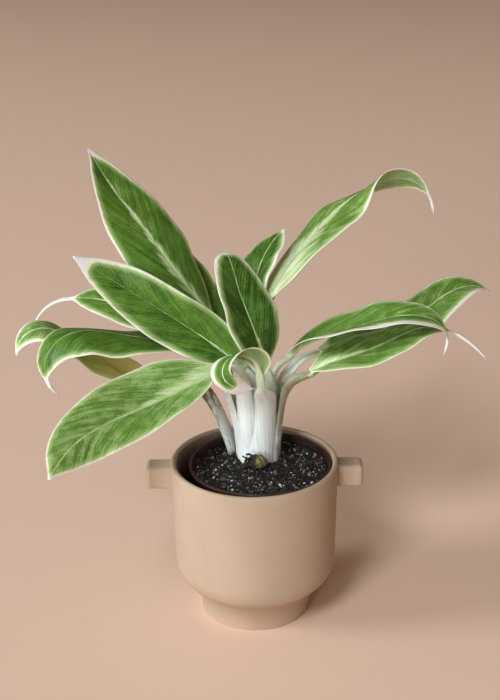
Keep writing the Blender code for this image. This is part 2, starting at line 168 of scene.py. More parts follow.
# Leaf blades
LEAF_OUTLINE = (0.13, 0.62, 0.88, 0.98, 1.0, 0.95, 0.84, 0.66, 0.40, 0.04)
EDGE_DROOP = math.radians(25)
BLADE_THICKNESS = 0.0005
THREAD_ROOT_HALF_WIDTH = 0.0022
THREAD_HALF_WIDTH = 0.0009
TIP_TAPER = ((0.0, 0.97, 1.0), (1.0, 1.0, 0.35))
EDGE_THINNING = 0.35
RIB_DEPTH = 0.0022
RIB_ROOT_DEPTH = 0.0026
RIB_ROOT_SHARE = 0.05
RIB_SHARE_BELOW = 0.9
RIB_TIP_WIDTH = 0.0006
RIB_WIDENING = 0.0030
RIB_LINE_WIDTHS = (0.13, 0.03)
GROOVE_DEPTH = 0.25
GROOVE_WIDTH = 0.4
WAVE_HEIGHT = 0.0011
WAVE_PHASES = (4.1, 1.3)
VEIN_SWEEP = 2.1
VEIN_BEND = 10.0
QUILT_HEIGHT = 0.00016
QUILT_LENGTH = 0.0180
QUILT_START = 0.0040
TAIL_ROUNDNESS = 0.80
TAIL_START = 0.03
CORNER_SOFTNESS = 1.2
BLADE_ROWS = 132
BLADE_COLUMNS = 49
COLUMN_CROWDING = 1.3

# Studio
CAMERA_PLACE = (-0.002623, -0.97322, 0.63013)
CAMERA_PITCH = math.radians(21.573)
CAMERA_ROLL = math.radians(-0.697)
LIGHT_AIM = (0.0, 0.0, 0.2)
LIGHT_COLOUR = (0.92, 1.0, 1.05)

# A leaf's shape: where its blade starts, its length and half width, then angles in degrees from base to tip:
# turn about the vertical, rise above level, roll about the midrib and how far both halves fold up from flat.
# The root is its stalk's place in the clump, as an angle and a distance. A tail is the share that is a
# thread, and waves are counted along an edge. Lean and climb say how far its stalk first goes out and up.
Leaf = namedtuple("Leaf", "name base length half_width heading rise roll fold root tail waves lean climb",
                  defaults=(0.0, 4.0, 0.009, 0.5))

LEAVES = (
    Leaf("upper_left", (-0.034, 0.037, 0.261), 0.182, 0.034,
         (160, 150, 155), (45, 50, 45, 60), (0, -20, -10), (10, 5, 30), (130, 0.0145)),
    Leaf("back_left_small", (-0.025, 0.053, 0.232), 0.110, 0.020,
         (135, 130, 130), (55, 50, 45, 50), (0, 0, 5), (25, 15, 15), (115, 0.0116)),
    Leaf("left_middle", (-0.007, 0.0195, 0.2195), 0.176, 0.026,
         (170, 180, 185), (40, 35, 35, 35), (-45, -80, -55), (35, 35, 5), (175, 0.0087)),
    Leaf("left_thread_tip", (-0.035, 0.045, 0.231), 0.191, 0.026,
         (175, 165, 160), (40, 20, 10, -15, -65), (-10, -25, -25), (30, 15, 15), (155, 0.0145), 0.27),
    Leaf("far_left", (-0.089, 0.048, 0.188), 0.152, 0.029,
         (175, 190, 195), (25, 40, 30, -80), (-15, 0, -20), (40, 0, 15), (155, 0.0220),
         lean=0.035, climb=1.15),
    Leaf("left_drooping", (-0.056, 0.034, 0.232), 0.176, 0.031,
         (185, 200, 205), (25, 15, 10, -60, -135), (0, -5, -35), (20, -10, 20), (175, 0.0120), 0.10),
    Leaf("front_left", (-0.029, 0.000, 0.230), 0.189, 0.035,
         (210, 220, 250), (-20, -10, -5, -25), (-20, -20, -25), (40, 25, -10), (235, 0.0105),
         waves=3.0, lean=0.015),
    Leaf("front_curled", (0.006, -0.027, 0.2325), 0.089, 0.0185,
         (215, 190, 195, 205), (85, 32, -55, -140, -175), (38, 36, -40, -70), (30, 5, 10), (305, 0.0175),
         lean=0.0, climb=0.85),
    Leaf("centre_upright", (0.012, 0.011, 0.226), 0.1165, 0.026,
         (170, 160, 130, 95), (70, 70, 65, 60, -20), (-35, -35, 0, 5), (20, 25, 0), (300, 0.0087)),
    Leaf("back_right_small", (-0.002, 0.050, 0.257), 0.090, 0.020,
         (60, 55, 50), (80, 65, 40, 20), (-15, -10, 0), (30, 25, 0), (90, 0.0145)),
    Leaf("upper_right_twisted", (0.013, 0.036, 0.277), 0.228, 0.033,
         (50, 45, 20, -45), (45, 30, 28, 7, -80), (-20, -25, -10, -42, -65), (10, 5, 20), (60, 0.0145),
         0.07),
    Leaf("right_middle", (0.029, 0.014, 0.235), 0.169, 0.027,
         (-15, -10, -5), (40, 20, 20, -15, -115), (-5, 5, 20), (30, 25, 10), (10, 0.0145), 0.11),
    Leaf("right_lower", (0.048, -0.002, 0.226), 0.169, 0.025,
         (5, 5, 0), (25, 15, 25, -25, -50), (10, 10, 0), (25, 10, 20), (-5, 0.0175), 0.24,
         lean=0.006, climb=0.60),
    Leaf("far_right", (0.057, 0.026, 0.234), 0.181, 0.026,
         (15, 25, 30), (10, 10, 25, -30), (10, 15, 20), (25, 5, 30), (35, 0.0160)),
)

# A leaf's markings: how deep its green is, its cream margin's width from base to tip on the right and the
# left of travel, the half width of the pale middle from base to tip and the length of the cream tip, in
# millimetres, then how plain the line of its midrib is and how aged and olive its first half is.
Marks = namedtuple("Marks", "depth right left pale tip rib aged", defaults=(0.4, 0.0))

MARKS = {
    "upper_left": Marks(0.58, (1.0, 1.2, 1.8, 4.0), (1.4, 1.8, 2.0, 2.0), (9, 7, 4, 2.5, 1.2, 0.5), 7, 0.5),
    "back_left_small": Marks(0.62, (1.0, 1.2, 1.4), (1.6, 3.0, 2.0), (4, 1.2, 0.6), 3),
    "left_middle": Marks(0.70, (0.9, 1.0, 2.2, 5.0), (1.1, 1.4, 1.8, 3.0), (4, 0.8, 0.2, 0.1, 0.1), 16, 0.06),
    "left_thread_tip": Marks(0.52, (1.0, 1.2, 1.6), (1.2, 1.6, 2.0), (5, 2, 1, 0.5), 6, 0.3),
    "far_left": Marks(0.35, (1.4, 1.8, 3.0), (1.4, 2.2, 3.5), (5, 3, 2, 1), 6, 0.8, 0.9),
    "left_drooping": Marks(0.72, (1.0, 1.2, 1.6), (1.0, 1.8, 2.6), (3, 0.8, 0.3, 0.2), 5, 0.1),
    "front_left": Marks(0.30, (1.2, 1.4, 1.6), (1.4, 1.8, 2.0), (14, 9, 3, 1.5, 0.8, 0.4), 3, 0.4),
    "front_curled": Marks(0.60, (4.0, 5.0, 6.0, 8.0), (1.2, 2.5, 5.0, 8.0), (2, 1, 0.5), 17, 0.0),
    "centre_upright": Marks(0.88, (1.0, 1.2, 1.8, 4.0), (1.4, 2.0, 2.2, 4.0), (3, 1, 0.6, 0.4), 12, 1.0),
    "back_right_small": Marks(0.84, (1.8, 2.6, 3.0), (0.7, 0.9, 1.1), (3, 0.9, 0.5), 4, 0.9),
    "upper_right_twisted": Marks(
        0.38, (1.2, 1.8, 3.0, 2.0), (3.0, 1.8, 1.6, 2.0), (60, 32, 9, 2, 1, 0.6), 6, 0.3),
    "right_middle": Marks(0.47, (4.5, 6.0, 4.0), (1.0, 1.2, 1.6), (5, 1.5, 0.8, 0.5), 3, 0.15),
    "right_lower": Marks(0.34, (1.0, 1.2, 1.4), (1.0, 1.2, 1.4), (9, 3, 1, 0.5), 3, 0.3),
    "far_right": Marks(0.42, (1.5, 2.5, 4.0), (1.2, 1.6, 2.0), (6, 2.5, 1.2, 0.8), 4, 0.35),
}

# How far up the stalk its sheath stays broad, where that is more than the usual share
BROAD_SHEATHS = {"front_curled": 0.50, "front_left": 0.50, "centre_upright": 0.55}

# How withered each stalk is, from fresh at 0 to brown at 1, and how far the wings of its sheath stand up
WITHERED = {"far_left": 0.9, "right_lower": 0.7, "left_drooping": 0.2}
WINGS = {"far_left": 0.0030, "right_lower": 0.0060}


# Node helpers

def feed(socket, value):
    """Joins a socket to another, or sets its value."""
    if isinstance(value, bpy.types.NodeSocket):
        socket.id_data.links.new(value, socket)
    else:
        socket.default_value = value


def node(tree, kind, inputs=(), **settings):
    made = tree.nodes.new("ShaderNode" + kind)
    for name, value in settings.items():
        setattr(made, name, value)
    for key, value in dict(inputs).items():
        feed(made.inputs[key], value)
    return made


def tree_of(*values):
    """The node tree of the first socket among some values."""
    return next(value.id_data for value in values if isinstance(value, bpy.types.NodeSocket))


def maths(operation, first, second=0.0):
    return node(tree_of(first, second), "Math", {0: first, 1: second}, operation=operation).outputs[0]


def fade(value, low, high, start=0.0, end=1.0):
    """A smooth step from start, where the value is at low, to end, where it is at high."""
    return node(tree_of(value), "MapRange", {0: value, 1: low, 2: high, 3: start, 4: end},
                interpolation_type="SMOOTHSTEP").outputs[0]


def layered(base, *layers):
    """A colour with others laid over it in turn, each with its mask and, where given, the mask's strength."""
    for colour, mask, *strengths in layers:
        for strength in strengths:
            mask = maths("MULTIPLY", mask, strength)
        base = node(tree_of(mask, base), "Mix", {0: mask, 6: shader_colour(base), 7: shader_colour(colour)},
                    data_type="RGBA").outputs[2]
    return base


def swayed(value, *waverings):
    """A value moved up and down by masks, each given with its strength."""
    for mask, strength in waverings:
        centred = maths("SUBTRACT", mask, 0.5)
        value = maths("ADD", value, maths("MULTIPLY", centred, strength))
    return value


def split_field(tree, name):
    """The three parts of a vector that the mesh carries, and the vector itself."""
    field = node(tree, "Attribute", attribute_name=name).outputs["Vector"]
    parts = node(tree, "SeparateXYZ", {0: field}).outputs
    return parts[0], parts[1], parts[2], field


def shader_colour(colour):
    """A shader's colour from screen values of 0 to 255. A socket stays as it is."""
    if isinstance(colour, bpy.types.NodeSocket):
        return colour
    shares = [value / 255 for value in colour]
    linear = [share / 12.92 if share <= 0.04045 else ((share + 0.055) / 1.055) ** 2.4 for share in shares]
    return *linear, 1.0


def new_material(name, roughness, **constants):
    made = bpy.data.materials.new(name)
    made.use_nodes = True
    tree = made.node_tree
    shader = tree.nodes["Principled BSDF"]
    shader.inputs["Roughness"].default_value = roughness
    for socket, value in constants.items():
        shader.inputs[socket.replace("_", " ")].default_value = value
    return made, tree, shader


def wire_shader(shader, colour, relief, depth, strength, roughness=None):
    """Gives a shader its colour, the relief of its surface and, where it varies, its roughness."""
    bump = node(shader.id_data, "Bump", {"Height": relief, "Distance": depth, "Strength": strength})
    feed(shader.inputs["Base Color"], colour)
    feed(shader.inputs["Normal"], bump.outputs[0])
    if roughness is not None:
        feed(shader.inputs["Roughness"], roughness)


# Shared effects

def new_group(name, outputs, **inputs):
    group = bpy.data.node_groups.new(name, "ShaderNodeTree")
    for label, value in inputs.items():
        kind = "NodeSocketVector" if isinstance(value, tuple) else "NodeSocketFloat"
        group.interface.new_socket(label, in_out="INPUT", socket_type=kind).default_value = value
    for label in outputs:
        group.interface.new_socket(label, in_out="OUTPUT", socket_type="NodeSocketFloat")
    given = group.nodes.new("NodeGroupInput").outputs
    result = group.nodes.new("NodeGroupOutput").inputs
    return group, given, result


def fixed_in_place(group, size):
    """A pattern's inputs, for marks of a given size fixed to the piece."""
    return {"Vector": node(group, "TexCoord").outputs["Object"], "Scale": maths("DIVIDE", 1.0, size)}


def mottle_group():
    """Soft patches of a given size through the piece."""
    group, given, result = new_group("mottle", ("Mask",), Size=0.01, Detail=3.0)
    place = fixed_in_place(group, given["Size"])
    patches = node(group, "TexNoise", {**place, "Detail": given["Detail"]})
    feed(result["Mask"], fade(patches.outputs[0], 0.30, 0.70))


def streaks_group():
    """Streaks that run along the second part of a vector, much longer than they are wide."""
    group, given, result = new_group("streaks", ("Mask",), Lines=(0.0, 0.0, 0.0), Across=5.0, Along=0.5)
    parts = node(group, "SeparateXYZ", {0: given["Lines"]}).outputs
    across = maths("MULTIPLY", parts[0], given["Across"])
    along = maths("MULTIPLY", parts[1], given["Along"])
    place = node(group, "CombineXYZ", {0: across, 1: along, 2: parts[2]}).outputs[0]
    pattern = node(group, "TexNoise", {"Vector": place, "Scale": 1.0, "Detail": 3.0, "Roughness": 0.55})
    feed(result["Mask"], fade(pattern.outputs[0], 0.32, 0.68))


def pits_group():
    """A fine pitted grain: its height, and a mask of sparse specks."""
    group, given, result = new_group("pits", ("Height", "Specks"), Size=0.001, Specks=0.1)
    place = fixed_in_place(group, given["Size"])
    rough = node(group, "TexNoise", {**place, "Detail": 5.0, "Roughness": 0.65})
    cells = node(group, "TexVoronoi", place)
    feed(result["Height"], maths("ADD", rough.outputs[0], cells.outputs["Distance"]))
    chance = node(group, "SeparateColor", {0: cells.outputs["Color"]}).outputs[0]
    picked = maths("LESS_THAN", chance, given["Specks"])
    near = fade(cells.outputs["Distance"], 0.15, 0.40, 1.0, 0.0)
    feed(result["Specks"], maths("MULTIPLY", picked, near))


def use(tree, effect, **inputs):
    """Places a shared effect with its own values and gives its outputs."""
    return node(tree, "Group", inputs, node_tree=bpy.data.node_groups[effect]).outputs


def streaky(tree, lines, across, along):
    return use(tree, "streaks", Lines=lines, Across=across, Along=along)["Mask"]


def patchy(tree, size, detail):
    return use(tree, "mottle", Size=size, Detail=detail)["Mask"]


# Finishes

def blade_material():
    """Variegated leaf skin: green, a pale middle, side veins and a cream margin, paler and duller beneath."""
    made, tree, shader = new_material("variegated_blade", 0.4, Subsurface_Scale=0.0020,
                                      Subsurface_Radius=(0.8, 1.0, 0.7), Specular_IOR_Level=0.32)
    past_margin, pale, underside, _ = split_field(tree, "blade_fields")
    vein, off_rib, _, lines = split_field(tree, "blade_lines")
    depth, rib_width, rib, _ = split_field(tree, "blade_tone")
    aged = split_field(tree, "blade_age")[0]
    broad = streaky(tree, lines, 0.8, 0.5)
    middle = streaky(tree, lines, 2.6, 0.5)
    fine = streaky(tree, lines, 9.0, 1.4)
    patch = patchy(tree, 0.011, 4.0)
    speck = patchy(tree, 0.0009, 1.0)

    deep = swayed(depth, (broad, 0.26), (middle, 0.24), (fine, 0.16), (patch, 0.24), (speck, 0.26))
    pale_edge = swayed(pale, (broad, 0.9), (fine, 0.7))
    on_rib = fade(maths("DIVIDE", off_rib, rib_width), 0.35, 1.0, 1.0, 0.0)
    wander = swayed(maths("DIVIDE", vein, 0.62), (patch, 0.5))
    beat = maths("ABSOLUTE", maths("SUBTRACT", maths("FRACT", wander), 0.5))
    plain = fade(middle, 0.35, 0.65)
    side_vein = maths("MULTIPLY", fade(beat, 0.02, 0.12, 0.36, 0.0), plain)
    brink = swayed(past_margin, (broad, 0.9), (fine, 0.6))
    upper = layered(
        (160, 190, 118),
        ((90, 130, 42), fade(deep, 0.0, 0.5)),
        ((36, 72, 16), fade(deep, 0.5, 1.1)),
        ((204, 222, 166), fade(pale_edge, 0.00, 0.60, 0.0, 0.90)),
        ((236, 242, 208), fade(pale_edge, 0.70, 1.20, 0.0, 0.75)),
        ((176, 200, 128), on_rib, rib),
        ((166, 196, 116), side_vein),
        ((182, 206, 136), fade(brink, 0.0, 5.0, 0.66, 0.0)),
        ((250, 234, 172), aged, 0.85))
    beneath = layered(upper, ((176, 192, 146), 0.45))
    cream = layered(
        (244, 250, 204),
        ((252, 252, 244), fade(brink, -3.2, -0.8, 1.0, 0.0)),
        ((204, 178, 132), aged, 0.6))
    creamy = fade(brink, -0.80, 0.80, 1.0, 0.0)
    skin = layered(upper, (beneath, underside), (cream, creamy))

    clear = maths("MAXIMUM", creamy, aged)
    feed(shader.inputs["Subsurface Weight"], fade(clear, 0.0, 1.0, 0.10, 0.60))
    dull = maths("MULTIPLY", underside, 0.20)
    relief = swayed(maths("MULTIPLY", side_vein, -1.5), (fine, 0.25), (speck, 0.15))
    wire_shader(shader, skin, relief, 0.00030, 0.6, swayed(maths("ADD", dull, 0.42), (fine, 0.10)))
    return made


def stalk_material():
    """White stalk skin with fine streaks along it, greener toward the blade and brown on withered edges."""
    made, tree, shader = new_material("white_stalk", 0.42, Subsurface_Weight=0.35, Subsurface_Scale=0.006,
                                      Subsurface_Radius=(1.0, 1.0, 0.7))
    height, edge, withered, _ = split_field(tree, "stalk_fields")
    lines = split_field(tree, "stalk_lines")[3]
    broad = streaky(tree, lines, 4.0, 0.25)
    fine = streaky(tree, lines, 16.0, 0.5)
    patch = patchy(tree, 0.006, 3.0)
    flecks = use(tree, "pits", Size=0.0016, Specks=0.14)["Specks"]
    low_down = fade(height, 0.0, 0.35, 0.75, 0.0)
    greener = fade(swayed(height, (broad, 0.3)), 0.60, 1.15, 0.0, 0.75)
    worn = maths("ADD", withered, maths("MULTIPLY", edge, 0.6))
    worn = swayed(worn, (patch, 0.7), (fine, 0.5))
    worn = maths("ADD", worn, fade(height, 0.10, 0.38, -0.7, 0.6))
    brown = layered((128, 120, 60), ((112, 84, 48), patch))
    skin = layered(
        (250, 253, 251),
        ((224, 231, 225), broad, 0.40),
        ((192, 204, 190), fine, 0.20),
        ((180, 202, 140), greener),
        ((170, 176, 140), fade(edge, 0.86, 1.0, 0.0, 0.30)),
        ((96, 84, 62), flecks, low_down),
        (brown, fade(worn, 0.75, 1.35), withered))
    wire_shader(shader, skin, swayed(0.0, (fine, 0.6), (broad, 0.8)), 0.0003, 0.6)
    return made


def dried_material():
    """Dull olive-brown skin of a dried sheath."""
    made, tree, shader = new_material("dried_sheath", 0.8)
    lines = split_field(tree, "stalk_lines")[3]
    fine = streaky(tree, lines, 14.0, 1.5)
    patch = patchy(tree, 0.0035, 4.0)
    tone = swayed(split_field(tree, "dry_tone")[0], (patch, 0.5))
    skin = layered(
        (156, 146, 92),
        ((118, 98, 58), patch, 0.6),
        ((74, 56, 32), fine, 0.4),
        ((44, 32, 22), fade(tone, 0.35, 0.95)))
    wire_shader(shader, skin, swayed(0.0, (fine, 0.8), (patch, 0.8)), 0.0006, 0.8)
    return made


def stoneware_material():
    """Matt beige stoneware with a fine grain, faint clouds of colour and painted shade on the inner wall."""
    made, tree, shader = new_material("beige_stoneware", 0.78)
    cloud = patchy(tree, 0.030, 4.0)
    blotch = patchy(tree, 0.005, 3.0)
    grain = use(tree, "pits", Size=0.0007, Specks=0.10)
    bend = node(tree, "NewGeometry").outputs["Pointiness"]
    # Painted shade: the inner wall turns dark brown below the rim, where shade falls into the hollow
    inside = split_field(tree, "inside")[0]
    clay = layered(
        (188, 163, 140),
        ((180, 155, 131), cloud, 0.5),
        ((191, 168, 145), blotch, 0.25),
        ((140, 116, 95), grain["Specks"], 0.30),
        ((205, 184, 163), fade(bend, 0.52, 0.60, 0.0, 0.4)),
        ((50, 34, 27), inside))
    wire_shader(shader, clay, grain["Height"], 0.00010, 0.6, swayed(0.76, (blotch, 0.10)))
    return made


def plastic_material():
    """Dark brown plastic, scuffed, with a little dust from the mix and a painted highlight on its sharp
    edges.
    """
    made, tree, shader = new_material("brown_plastic", 0.40)
    scuff = patchy(tree, 0.004, 5.0)
    dust = use(tree, "pits", Size=0.0012, Specks=0.22)
    # Painted highlight: sharp edges such as the lip turn a lit reddish brown
    bend = node(tree, "NewGeometry").outputs["Pointiness"]
    shade = layered(
        (46, 25, 22),
        ((70, 40, 34), scuff, 0.5),
        ((96, 76, 62), dust["Specks"], 0.45),
        ((140, 82, 70), fade(bend, 0.52, 0.62, 0.0, 0.7)))
    wire_shader(shader, shade, dust["Height"], 0.00005, 0.4, swayed(0.42, (scuff, 0.25)))
    return made


def soil_material():
    """Damp peat and bark fines, each crumb with its own tone."""
    made, tree, shader = new_material("peat_and_bark", 0.85)
    tone = split_field(tree, "crumb_tone")[0]
    patch = patchy(tree, 0.003, 5.0)
    grain = use(tree, "pits", Size=0.0006, Specks=0.10)
    peat = layered(
        (12, 10, 9),
        ((30, 25, 22), patch),
        ((66, 56, 50), fade(tone, 0.55, 0.80)),
        ((140, 130, 122), fade(tone, 0.84, 0.92)),
        ((120, 104, 90), grain["Specks"], 0.5))
    wire_shader(shader, peat, grain["Height"], 0.0004, 0.9, swayed(0.78, (patch, 0.25)))
    return made


def perlite_material():
    """White puffed perlite, pitted all over."""
    made, tree, shader = new_material("perlite", 0.8)
    grain = use(tree, "pits", Size=0.0005, Specks=0.25)
    white = layered((236, 234, 228), ((168, 160, 150), grain["Specks"], 0.5))
    wire_shader(shader, white, grain["Height"], 0.0003, 0.9)
    return made


# Mesh helpers

def put_in_scene(name, data):
    made = bpy.data.objects.new(name, data)
    bpy.context.scene.collection.objects.link(made)
    return made


def object_of(name, shell):
    """An object in the scene from a bmesh, which ends here."""
    mesh = bpy.data.meshes.new(name)
    shell.to_mesh(mesh)
    shell.free()
    return put_in_scene(name, mesh)


def new_piece(name, verts, faces, material, node_name, smooth=True):
    """A closed piece that rides on the body, stands for a solid and takes its finish from a slot."""
    mesh = bpy.data.meshes.new(name)
    mesh.from_pydata([tuple(vert) for vert in verts], [], faces)
    mesh.validate()
    shell = bmesh.new()
    shell.from_mesh(mesh)
    bmesh.ops.recalc_face_normals(shell, faces=shell.faces)
    shell.to_mesh(mesh)
    shell.free()
    return settle(put_in_scene(name, mesh), material, node_name, smooth)


def settle(piece, material, node_name, smooth=True):
    coat(piece, material)
    if smooth:
        piece.data.shade_smooth()
    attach(piece, ROOT)
    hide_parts(node_name)
    return piece


def coat(piece, material):
    piece.data.materials.clear()
    piece.data.materials.append(material)


def carry_field(piece, name, values):
    """Stores a vector for each vertex, for the finishes to read."""
    field = piece.data.attributes.new(name, "FLOAT_VECTOR", "POINT")
    field.data.foreach_set("vector", np.ascontiguousarray(values, dtype=np.float32).ravel())


def carry_on_shell(piece, name, *parts, beneath=(0.0, 0.0, 0.0)):
    """Stores a vector for each vertex of a thin shell, with what is added on its lower grid."""
    upper = vectors(*parts).reshape(-1, 3)
    carry_field(piece, name, np.concatenate((upper, upper + np.array(beneath))))


def vectors(*parts):
    """Vectors from their three parts, each a number or an array."""
    return np.stack(np.broadcast_arrays(*parts), axis=-1)


def unit(values):
    return values / np.linalg.norm(values, axis=-1, keepdims=True)


def direction(heading, rise):
    """Directions from their turn about the vertical and their rise above level, in radians."""
    return vectors(np.cos(heading) * np.cos(rise), np.sin(heading) * np.cos(rise), np.sin(rise))


def swept(spine, side, across, up, lift):
    """A grid of points set off sideways and upward from each point of a line."""
    return spine[:, None, :] + side[:, None, :] * across[..., None] + up[:, None, :] * lift[..., None]


def stations(values, share):
    """A smooth curve through evenly spaced values, read at any shares of its length."""
    values = np.asarray(values, float)
    last = len(values) - 1
    place = clamp(share) * last
    i = np.minimum(place.astype(int), last - 1)
    f = place - i
    before = values[np.maximum(i - 1, 0)]
    here = values[i]
    after = values[i + 1]
    beyond = values[np.minimum(i + 2, last)]
    return 0.5 * (2 * here + (after - before) * f + (2 * before - 5 * here + 4 * after - beyond) * f * f
                  + (3 * here - before - 3 * after + beyond) * f ** 3)


def clamp(value):
    """A number or an array held between 0 and 1."""
    return np.clip(value, 0.0, 1.0)


def circle(radius, steps, shift=0.0):
    """Points spaced evenly round a circle, shifted along it by a share of a step."""
    turns = [math.tau * (step + shift) / steps for step in range(steps)]
    return [(radius * math.cos(turn), radius * math.sin(turn)) for turn in turns]


def ring_faces(first, rings, steps):
    """Faces between rings of vertices that follow one another from a first vertex."""
    faces = []
    for ring in range(rings - 1):
        for step in range(steps):
            a = first + ring * steps + step
            b = first + ring * steps + (step + 1) % steps
            faces.append((a, a + steps, b + steps, b))
    return faces


def tube_faces(rows, sides):
    ends = [tuple(range(sides)), tuple(range(rows * sides, (rows + 1) * sides))]
    return ends + ring_faces(0, rows + 1, sides)


def new_shell(name, upper, lower, finish, node_name, slot):
    """A thin closed piece: an upper grid of points, a lower grid and the edge between them."""
    rows, columns, _ = upper.shape
    count = rows * columns
    verts = np.concatenate((upper.reshape(-1, 3), lower.reshape(-1, 3)))
    faces = []
    for row in range(rows - 1):
        for column in range(columns - 1):
            a = row * columns + column
            b = a + columns
            faces.append((a, b, b + 1, a + 1))
            faces.append((count + a, count + a + 1, count + b + 1, count + b))
    sides = (range(0, count, columns), range(columns - 1, count, columns),
             range(columns), range(count - columns, count))
    for line in sides:
        for near, far in zip(line, line[1:]):
            faces.append((near, count + near, count + far, far))
    return new_piece(name, verts, faces, finish, node_name)


# Leaf blades

def bearing(leaf, share):
    """A blade's turn about the vertical and its rise above level, in radians."""
    return np.radians(stations(leaf.heading, share)), np.radians(stations(leaf.rise, share))


def travel(leaf, share):
    return direction(*bearing(leaf, share))


def blade_axes(leaf, share):
    """The blade's sideways and upward directions."""
    heading, rise = bearing(leaf, share)
    roll = np.radians(stations(leaf.roll, share))[..., None]
    level = vectors(-np.sin(heading), np.cos(heading), 0.0)
    upright = vectors(-np.cos(heading) * np.sin(rise), -np.sin(heading) * np.sin(rise), np.cos(rise))
    return level * np.cos(roll) + upright * np.sin(roll), upright * np.cos(roll) - level * np.sin(roll)


def midrib(leaf, rows):
    fine = 8
    count = rows * fine
    steps = travel(leaf, (np.arange(count) + 0.5) / count) * leaf.length / count
    points = np.vstack((np.zeros(3), np.cumsum(steps, axis=0))) + np.array(leaf.base)
    return points[::fine]


def blade_half_width(leaf, share):
    blade = 1.0 - leaf.tail
    wide = leaf.half_width * stations(LEAF_OUTLINE, share / blade)
    narrowest = np.full_like(share, THREAD_HALF_WIDTH)
    if leaf.tail:
        left = clamp((1.0 - share) / leaf.tail)
        narrowest += (THREAD_ROOT_HALF_WIDTH - THREAD_HALF_WIDTH) * left
        wide = np.where(share >= blade, 0.0, wide)
    return np.maximum(narrowest * np.interp(share, *TIP_TAPER), wide)


def build_blade(number, leaf, finish):
    """A thin closed blade over its solid, with the fields that its finish reads."""
    share = np.linspace(0.0, 1.0, BLADE_ROWS + 1)
    spine = midrib(leaf, BLADE_ROWS)
    side, up = blade_axes(leaf, share)
    share = share[:, None]
    spread = np.linspace(-1.0, 1.0, BLADE_COLUMNS)
    column = np.sign(spread) * np.abs(spread) ** COLUMN_CROWDING
    reach = np.abs(column)
    width = blade_half_width(leaf, share)
    start = np.radians(stations(leaf.fold, share))
    slope = start - EDGE_DROOP * reach
    across = (np.sin(start) - np.sin(slope)) / EDGE_DROOP * width * np.sign(column)
    phase = np.where(column > 0, WAVE_PHASES[1], WAVE_PHASES[0])
    beat = np.sin(math.tau * leaf.waves * share + phase) * np.sin(math.pi * share)
    fullness = np.minimum(1.0, width / leaf.half_width)
    lift = (np.cos(slope) - np.cos(start)) / EDGE_DROOP * width + WAVE_HEIGHT * beat * reach ** 2 * fullness
    slope = np.where(column == 0.0, 0.0, slope * np.sign(column))
    normal = up[:, None, :] * np.cos(slope)[..., None] - side[:, None, :] * np.sin(slope)[..., None]
    middle = swept(spine, side, across, up, lift)

    off_rib = reach * width
    vein = share * leaf.length - VEIN_SWEEP * off_rib - VEIN_BEND * off_rib ** 2
    above, below = blade_relief(leaf, share, reach, width, fullness, vein)
    piece = new_shell("blade_" + leaf.name, middle + normal * above[..., None],
                      middle - normal * below[..., None], finish, "leaf_" + leaf.name, "leaf_blade")
    mark_blade(piece, number, leaf, share, column, width, vein)


def blade_relief(leaf, share, reach, width, fullness, vein):
    """How far a blade's two faces lie from its middle: quilted between veins, with a rib below its groove."""
    off_rib = reach * width
    quilt = QUILT_HEIGHT * np.cos(math.tau * vein / QUILT_LENGTH) * np.minimum(1.0, off_rib / QUILT_START)
    quilt = quilt * fullness * (1.0 - reach ** 4)
    rib_width = RIB_WIDENING * (1.0 - share) + RIB_TIP_WIDTH
    rib = RIB_DEPTH * (1.0 - share) ** 1.5 + RIB_ROOT_DEPTH * np.exp(-share / RIB_ROOT_SHARE)
    rib = rib * np.exp(-(off_rib / rib_width) ** 2)
    groove = GROOVE_DEPTH * rib * np.exp(-(off_rib / (GROOVE_WIDTH * rib_width)) ** 2)
    half = BLADE_THICKNESS / 2 * (1.0 - EDGE_THINNING * reach)
    if leaf.tail:
        past_blade = clamp((share - 1.0 + leaf.tail) / TAIL_START)
        half = np.maximum(half, past_blade * TAIL_ROUNDNESS * width * np.sqrt(1.0 - reach ** 2))
    return half + quilt - groove, half - quilt + rib * RIB_SHARE_BELOW


def mark_blade(piece, number, leaf, share, column, width, vein):
    """Where the margin, pale middle and veins fall on a blade."""
    marks = MARKS[leaf.name]
    off_rib = np.abs(column) * width
    blade = 1.0 - leaf.tail
    margins = np.where(column > 0, stations(marks.left, share / blade), stations(marks.right, share / blade))
    off_margin = (width - off_rib) * MM - margins
    off_tip = (blade - share) * leaf.length * MM - marks.tip
    past_margin = -CORNER_SOFTNESS * np.logaddexp(-off_margin / CORNER_SOFTNESS, -off_tip / CORNER_SOFTNESS)
    pale = 1.0 - off_rib * MM / stations(marks.pale, share / blade)
    carry_on_shell(piece, "blade_fields", past_margin, pale, 0.0, beneath=(0.0, 0.0, 1.0))
    seed = number * 3.7 + np.where(column > 0, 1.3, 0.0)
    carry_on_shell(piece, "blade_lines", vein * CM, off_rib * CM, seed)
    flat = np.ones_like(vein)
    rib_width = RIB_LINE_WIDTHS[0] + (RIB_LINE_WIDTHS[1] - RIB_LINE_WIDTHS[0]) * share
    carry_on_shell(piece, "blade_tone", marks.depth, flat * rib_width, marks.rib)
    aged = marks.aged * clamp(1.5 - 2.2 * share)
    if leaf.tail:
        aged = aged + 0.9 * clamp((share - 0.95) / 0.05)
    carry_on_shell(piece, "blade_age", flat * aged, 0.0, 0.0)


# Stalks

def bezier(control, share):
    share = share[:, None]
    left = 1.0 - share
    weights = (left ** 3, 3 * left * left * share, 3 * left * share * share, share ** 3)
    return sum(weight * point for weight, point in zip(weights, control))


